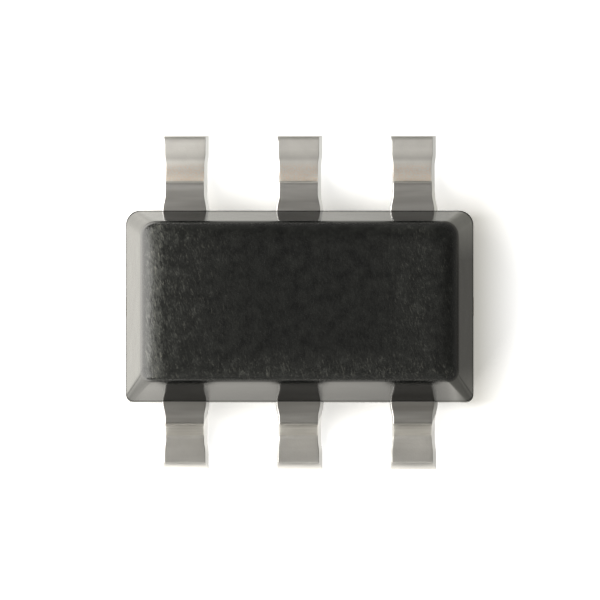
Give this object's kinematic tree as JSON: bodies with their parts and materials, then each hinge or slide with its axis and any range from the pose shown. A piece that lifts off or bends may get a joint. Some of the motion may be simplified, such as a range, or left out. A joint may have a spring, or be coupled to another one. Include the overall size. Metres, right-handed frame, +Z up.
{
  "type": "ldo voltage regulator",
  "caption": "Low-dropout voltage regulator in a small surface-mount package: drafted black moulding on tin-plated gull-wing leads, with die pad, silicon die and looped bond wires inside.",
  "frame": {"origin": "on the board surface, at the middle of the six feet, which is the bottom centre of the part's box", "axes": "+X along the rows of leads, from lead 1 towards lead 3; +Y from the front row (leads 1 to 3) towards the back row (leads 4 to 6); +Z up from the board"},
  "size_m": [0.0028, 0.0028, 0.0012],
  "materials": {
    "moulding_compound": "black silica-filled epoxy, fine spark-eroded mould texture",
    "tin_plated_lead": "matte tin plating on copper alloy",
    "die_attach_paste": "cured silver-filled epoxy",
    "silicon": "polished silicon with aluminium bond pads",
    "gold_wire": "bright drawn gold wire"
  },
  "bodies": {
    "root": {"moulded_body": "moulding_compound", "lead_1_input": "tin_plated_lead", "lead_2_ground_with_die_pad": "tin_plated_lead", "lead_3_enable": "tin_plated_lead", "lead_4_adjust": "tin_plated_lead", "lead_5_bypass": "tin_plated_lead", "lead_6_output": "tin_plated_lead", "die_attach": "die_attach_paste", "regulator_die": "silicon", "bond_wire_input_a": "gold_wire", "bond_wire_input_b": "gold_wire", "bond_wire_ground": "gold_wire", "bond_wire_enable": "gold_wire", "bond_wire_adjust": "gold_wire", "bond_wire_bypass": "gold_wire", "bond_wire_output_a": "gold_wire", "bond_wire_output_b": "gold_wire"}
  },
  "joints": []
}
